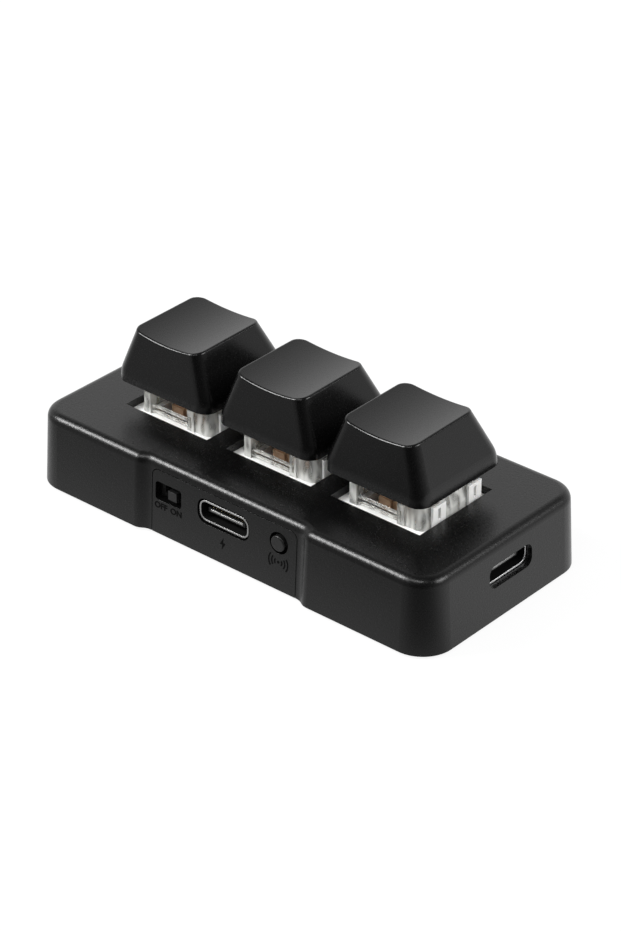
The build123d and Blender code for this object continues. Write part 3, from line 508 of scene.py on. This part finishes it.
# %% [markdown]
# Inside each switch stands a return spring, which the clear housing shows when light falls through it. The
# solid is a stiff coil of square wire. Here the coil is wound again from round wire: rings of points along
# a rising circle, joined by faces. It takes the place of the solid. The new coil is rigid as well, so the
# stem that comes down on it as its key goes down cuts through it.

# %% Return springs
WIRE = 0.30 * MM
WIRE_SIDES = 8
SPRING_TURNS = 6
RINGS_PER_TURN = 20
travel_of = {row["name"]: row["range_m"][1] for row in frame["record"]["behaviour"]["joints"]}


def piece_on_case(name, mesh, finish):
    """A piece made of a mesh, in one of the finishes, that rides on the case."""
    mesh.materials.append(finishes[finish])
    piece = bpy.data.objects.new(name, mesh)
    show(piece)
    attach(piece, "case")
    return piece


def wound_wire(name, start, radius, rise):
    """A coil of round wire that winds up round an axis, from the height of its start."""
    rings = SPRING_TURNS * RINGS_PER_TURN
    points, faces = [], []
    for ring in range(rings + 1):
        turn = 2 * math.pi * ring / RINGS_PER_TURN
        outward = Vector((math.cos(turn), math.sin(turn), 0.0))
        onward = UPWARDS.cross(outward) * radius + UPWARDS * rise / (2 * math.pi * SPRING_TURNS)
        across = onward.normalized().cross(outward)
        middle = start + outward * radius + UPWARDS * rise * ring / rings
        for side in range(WIRE_SIDES):
            angle = 2 * math.pi * side / WIRE_SIDES
            points.append(middle + (outward * math.cos(angle) + across * math.sin(angle)) * WIRE / 2)
            here, beside = ring * WIRE_SIDES + side, ring * WIRE_SIDES + (side + 1) % WIRE_SIDES
            if ring < rings:
                faces.append((here, beside, beside + WIRE_SIDES, here + WIRE_SIDES))
    faces += [tuple(range(WIRE_SIDES))[::-1], tuple(range(rings * WIRE_SIDES, (rings + 1) * WIRE_SIDES))]
    mesh = bpy.data.meshes.new(name)
    mesh.from_pydata(points, [], faces)
    mesh.shade_smooth()
    return mesh


def return_coil(key):
    """The spring of one key, in place of its solid."""
    name, node, joint = "return_coil_" + key, "switch_spring_" + key, "key_" + key + "_press"
    low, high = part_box(node)
    foot = Vector(((low.x + high.x) / 2, (low.y + high.y) / 2, low.z))
    height = high.z - low.z
    mesh = wound_wire(name, foot + UPWARDS * WIRE / 2, (high.x - low.x - WIRE) / 2, height - WIRE)
    coil = piece_on_case(name, mesh, "spring_steel")
    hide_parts(node)
    1.0 - travel_of[joint] / height
    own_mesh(coil)
    print(name, "height in mm:", round(height / MM, 2))


for key in ("left", "middle", "right"):
    return_coil(key)

# %% [markdown]
# Beside the slide switch, its two positions are marked by engraved letters. The other controls get plain
# marks: a bolt for the charging port, and a dot between waves for the pairing button. A flat outline is
# enough for each, filled and given the thickness of an engraving's paint. To lie on the panel, which leans
# back by the draft of the mould, a mark asks the panel itself: a ray from the front gives the point and the
# normal there.

# %% Put a mark on the port panel
MARK_THICKNESS = 0.03 * MM
RAY_START = 1.0
DRAWN_DEPTH = 1.0
panel = nodes["bottom_cover"]


def panel_frame(x, z):
    """A frame on the panel: its x runs along the case, its y up the panel and its z out of it."""
    _, spot, normal, _ = panel.ray_cast(Vector((x, -RAY_START, z)), ALONG_Y)
    turn = Matrix((ALONG_X, normal.cross(ALONG_X), normal)).transposed().to_4x4()
    return Matrix.Translation(spot) @ turn


def put_mark(name, shape, x, z, length, height):
    """Turn a flat curve into a thin mesh of this size on the panel, painted in the marks' finish."""
    shape.extrude = DRAWN_DEPTH
    drawn = bpy.data.objects.new(name, shape)
    mesh = bpy.data.meshes.new_from_object(drawn)
    bpy.data.objects.remove(drawn)
    low = Vector(min(v.co[axis] for v in mesh.vertices) for axis in range(3))
    high = Vector(max(v.co[axis] for v in mesh.vertices) for axis in range(3))
    wanted = (length, height, 2 * MARK_THICKNESS)
    fit = Matrix.Diagonal([size / (b - a) for size, a, b in zip(wanted, low, high)]).to_4x4()
    mesh.transform(panel_frame(x, z) @ fit @ Matrix.Translation(-(low + high) / 2))
    piece_on_case(name, mesh, "mark_black")
    print(name, "at x in mm:", round(x / MM, 2))


print("panel:", panel.name)

# %% Outlines of the marks
LETTER_WEIGHT = 0.025
WORD_SPACE = 1.5
BOLT = [(0.15, 1.0), (-0.55, -0.15), (-0.05, -0.15), (-0.15, -1.0), (0.55, 0.15), (0.05, 0.15)]
WAVES = (0.6, 1.1, 1.6)
WAVE_WIDTH = 0.2
WAVE_SWEEP = 35
WAVE_STEPS = 10
DOT_STEPS = 16
DOT_SWEEP = 359


def letters(word):
    """A word as a flat curve, a little bold."""
    made = bpy.data.curves.new(word, "FONT")
    made.body = word
    made.offset = LETTER_WEIGHT
    made.space_word = WORD_SPACE
    return made


def outline(name, loops):
    """A flat filled curve with these closed outlines."""
    made = bpy.data.curves.new(name, "CURVE")
    made.dimensions = "2D"
    made.fill_mode = "BOTH"
    for loop in loops:
        line = made.splines.new("POLY")
        line.points.add(len(loop) - 1)
        line.use_cyclic_u = True
        for point, (x, y) in zip(line.points, loop):
            point.co = (x, y, 0.0, 1.0)
    return made


def arc(radius, start, end, steps):
    """Points along an arc between two angles in degrees."""
    angles = [math.radians(start + (end - start) * step / steps) for step in range(steps + 1)]
    return [(math.cos(a) * radius, math.sin(a) * radius) for a in angles]


def wave(radius, middle):
    """Outline of one wave, a part of a flat ring round the angle of its middle."""
    ends = middle - WAVE_SWEEP, middle + WAVE_SWEEP
    outer = arc(radius + WAVE_WIDTH / 2, *ends, WAVE_STEPS)
    inner = arc(radius - WAVE_WIDTH / 2, *ends, WAVE_STEPS)
    return outer + inner[::-1]


waves = [wave(radius, middle) for radius in WAVES for middle in (0, 180)]
dot = arc(WAVE_WIDTH, 0, DOT_SWEEP, DOT_STEPS)
print("waves:", len(waves), "points of the dot:", len(dot))

# %% Marks
LETTERS_SIZE = 5.05 * MM, 0.95 * MM
BOLT_SIZE = 1.0 * MM, 1.9 * MM
WAVES_SIZE = 3.6 * MM, 2.0 * MM
LETTERS_LEVEL = 4.95 * MM
BOLT_LEVEL = 3.55 * MM
WAVES_LEVEL = 4.75 * MM


def middle_x(node):
    """Where the middle of a node lies along the case."""
    low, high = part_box(node)
    return (low.x + high.x) / 2


put_mark("mark_off_on", letters("OFF ON"), middle_x("power_switch_body"), LETTERS_LEVEL, *LETTERS_SIZE)
put_mark("mark_charge", outline("bolt", [BOLT]), middle_x("charge_port_shell"), BOLT_LEVEL, *BOLT_SIZE)
put_mark("mark_pair", outline("waves", waves + [dot]), middle_x("pair_button"), WAVES_LEVEL, *WAVES_SIZE)

# %% [markdown]
# The tongue in each port carries a row of gilt contacts on both faces, half a millimetre apart, and the
# steel plate inside it shows along its front edge. They are thin boxes, made in a loop and joined in one
# mesh for each port and metal. The port's own shell tells where its mouth is.

# %% Contacts on the port tongues
PORT_HEIGHT = 3.26 * MM
TONGUE_HALF = 0.35 * MM
TONGUE_SETBACK = 0.6 * MM
CONTACTS = 12
CONTACT_PITCH = 0.5 * MM
CONTACT_WIDTH = 0.26 * MM
CONTACT_LENGTH = 3.4 * MM
CONTACT_DEPTH = 0.6 * CONTACT_LENGTH
CONTACT_THICKNESS = 0.02 * MM
PLATE_PROUD = 0.03 * MM
PLATE_WIDTH = 5.9 * MM
PLATE_THICKNESS = 0.32 * MM
UNIT_BOX = [(x, y, z) for x in (-0.5, 0.5) for y in (-0.5, 0.5) for z in (-0.5, 0.5)]
BOX_FACES = [(0, 1, 3, 2), (4, 6, 7, 5), (0, 4, 5, 1), (2, 3, 7, 6), (0, 2, 6, 4), (1, 5, 7, 3)]


def joined_boxes(name, boxes, metal):
    """One piece of boxes, each a middle and three edges as vectors."""
    points, faces = [], []
    for middle, deep, wide, high in boxes:
        faces += [tuple(len(points) + corner for corner in face) for face in BOX_FACES]
        points += [middle + deep * x + wide * y + high * z for x, y, z in UNIT_BOX]
    mesh = bpy.data.meshes.new(name)
    mesh.from_pydata(points, [], faces)
    piece_on_case(name, mesh, metal)


def tongue_metal(name, mouth, outward, across):
    """Gilt strips on both faces of a tongue and the plate in its front, for a mouth that opens outward."""
    front = mouth - outward * TONGUE_SETBACK
    strip = outward * CONTACT_LENGTH, across * CONTACT_WIDTH, UPWARDS * 2 * CONTACT_THICKNESS
    strips = []
    for side in (-1, 1):
        for count in range(CONTACTS):
            shift = (count - (CONTACTS - 1) / 2) * CONTACT_PITCH
            middle = front - outward * CONTACT_DEPTH + across * shift + UPWARDS * side * TONGUE_HALF
            strips.append((middle, *strip))
    joined_boxes(name + "_contacts", strips, "contact_brass")
    plate = (front, outward * 2 * PLATE_PROUD, across * PLATE_WIDTH, UPWARDS * PLATE_THICKNESS)
    joined_boxes(name + "_plate", [plate], "plate_steel")
    print(name, "contacts:", len(strips))


charge_mouth = Vector(((charge_lo.x + charge_hi.x) / 2, charge_lo.y, charge_hi.z - PORT_HEIGHT / 2))
link_mouth = Vector((link_hi.x, (link_lo.y + link_hi.y) / 2, link_hi.z - PORT_HEIGHT / 2))
tongue_metal("charge_tongue", charge_mouth, -ALONG_Y, ALONG_X)
tongue_metal("link_tongue", link_mouth, ALONG_X, ALONG_Y)

# %% [markdown]
# The studio is a pale floor under the keypad, a white surrounding and soft lamps. The floor has to be white
# without flooding the black plastic, so the white is shown to the rays that come from the camera, a
# reflection or a clear piece, while the light that falls on surfaces stays at a plain level. A share of the
# floor stays an ordinary lit surface, which keeps the shadow. In reflections the floor is white behind the
# keypad and fades to dark in front of it, as on a photo table that is open to a dim room. It is lighter
# again on the left, and a darker place lies before the front corner. That sets the faces of the case apart.

# %% Floor
FLOOR_REACH = 3.0
FLOOR_DROP = 0.01 * MM
FLOOR_SHOWN_SHARE = 0.90
FLOOR_MIRRORED_SHARE = 0.98
PAPER_TONE = 0.82
WHITE = 1.0
TABLE_TONE = 0.02
TABLE_FADE = (-66 * MM, 6 * MM)
TABLE_LEFT_TONE = 0.40
TABLE_LEFT_FADE = (-20 * MM, 50 * MM)
DARK_PLACE = (46 * MM, -30 * MM, 0.0)
DARK_REACH = (8 * MM, 24 * MM)
DARK_PLACE_SHARE = 0.40
SQUARE = ((-1, -1), (1, -1), (1, 1), (-1, 1))


def kinds_of_ray(start):
    """1 or 0 for a ray from the camera, and for one from a reflection or through a clear piece."""
    camera_ray, glossy, clear = (start.node("ShaderNodeLightPath", output="Is " + kind + " Ray")
                                 for kind in ("Camera", "Glossy", "Transmission"))
    return camera_ray, glossy.larger(clear)


def floor_white(name):
    made, place = new_finish(name)
    sockets = {"Vector": place, "Vector_001": DARK_PLACE}
    away = place.node("ShaderNodeVectorMath", {"operation": "DISTANCE"}, sockets, "Value")
    undimmed = away.band(*DARK_REACH).between(DARK_PLACE_SHARE, WHITE)
    table = place.along(ALONG_Y).band(*TABLE_FADE) * undimmed
    left = TABLE_LEFT_TONE * place.along(-ALONG_X).band(*TABLE_LEFT_FADE)
    camera_ray, mirrored = kinds_of_ray(place)
    lightness = camera_ray.larger(table.larger(left))
    white = place.node("ShaderNodeEmission", {}, {"Color": lightness.blend(TABLE_TONE, WHITE)})
    paper = place.node("ShaderNodeBsdfDiffuse", {}, {"Color": tone(PAPER_TONE)})
    share = camera_ray * FLOOR_SHOWN_SHARE + mirrored * FLOOR_MIRRORED_SHARE
    sockets = {"Fac": share, "Shader": paper, "Shader_001": white}
    close_with(place.node("ShaderNodeMixShader", {}, sockets))
    return made


sheet = bpy.data.meshes.new("floor")
corners = [(x * FLOOR_REACH, y * FLOOR_REACH, -FLOOR_DROP) for x, y in SQUARE]
sheet.from_pydata(corners, [], [(0, 1, 2, 3)])
sheet.materials.append(floor_white("floor_white"))
floor = bpy.data.objects.new("floor", sheet)
show(floor)
print("floor's edge in metres:", 2 * FLOOR_REACH)

# %% [markdown]
# The surrounding follows the same idea: white for the camera, and a plain level of light for surfaces. In
# reflections it rises evenly from dark in front to white behind. It is greyer overhead, and nowhere darker
# than the dim room. Glossy black shows mostly what it mirrors, so this gives the dished tops their soft
# gradient and turns the keys' corners that face the room black.

# %% Surrounding
AMBIENT = 0.75
BACKDROP_MIDDLE = 0.53
BACKDROP_RISE = 0.51
OVERHEAD_FALL = 0.50
OVERHEAD_EDGES = (0.35, 0.75)
ROOM_AZIMUTH = math.radians(25)
ROOM_TONE = 0.02


def surrounding(name):
    made = bpy.data.worlds.new(name)
    made.use_nodes = True
    made.node_tree.nodes.clear()
    direction = Wire(made.node_tree).node("ShaderNodeTexCoord", output="Generated")
    behind = direction.along(-towards_viewer(ROOM_AZIMUTH, 0.0))
    overhead = direction.along(UPWARDS).band(*OVERHEAD_EDGES)
    backdrop = BACKDROP_MIDDLE + BACKDROP_RISE * behind - OVERHEAD_FALL * overhead
    camera_ray, mirrored = kinds_of_ray(direction)
    seen = camera_ray.between(AMBIENT, WHITE)
    strength = seen + (backdrop.larger(ROOM_TONE) - AMBIENT) * mirrored
    light = direction.node("ShaderNodeBackground", {}, {"Color": tone(WHITE), "Strength": strength})
    light.node("ShaderNodeOutputWorld", {}, {"Surface": light})
    return made


bpy.context.scene.world = surrounding("studio")
bpy.context.scene.view_settings.view_transform = "Standard"
print("surrounding:", bpy.context.scene.world.name)

# %% [markdown]
# Four lamps draw the highlights. A strong lamp from the front left draws the bright line along the rounded
# edge over the ports and along the keys' top edges; it is not large, so that the line stays thin. A low,
# wide one high up in front carries that line round the corner. A large weak lamp over the backdrop is
# mirrored by the flat tops, and the last one, on the right, lifts the open switches.

# %% Lamps
LAMPS = {  # azimuth and elevation in degrees; distance, width and height in metres; watts
    "front_left_lamp": (-48.0, 40.0, 0.9, 0.32, 0.30, 8.2),
    "corner_lamp": (12.0, 57.0, 0.9, 0.50, 0.16, 2.2),
    "backdrop_lamp": (-137.0, 30.0, 1.2, 1.2, 0.9, 0.9),
    "right_lamp": (112.0, 38.0, 0.9, 0.5, 0.3, 4.4),
}


def soft_lamp(name, azimuth, elevation, distance, width, height, watts):
    """A rectangular lamp that faces the keypad."""
    made = bpy.data.lights.new(name, "AREA")
    made.shape = "RECTANGLE"
    made.size = width
    made.size_y = height
    made.energy = watts
    lamp = bpy.data.objects.new(name, made)
    face_keypad(lamp, math.radians(azimuth), math.radians(elevation), distance)


for name, numbers in LAMPS.items():
    soft_lamp(name, *numbers)
print("lamps:", list(LAMPS))
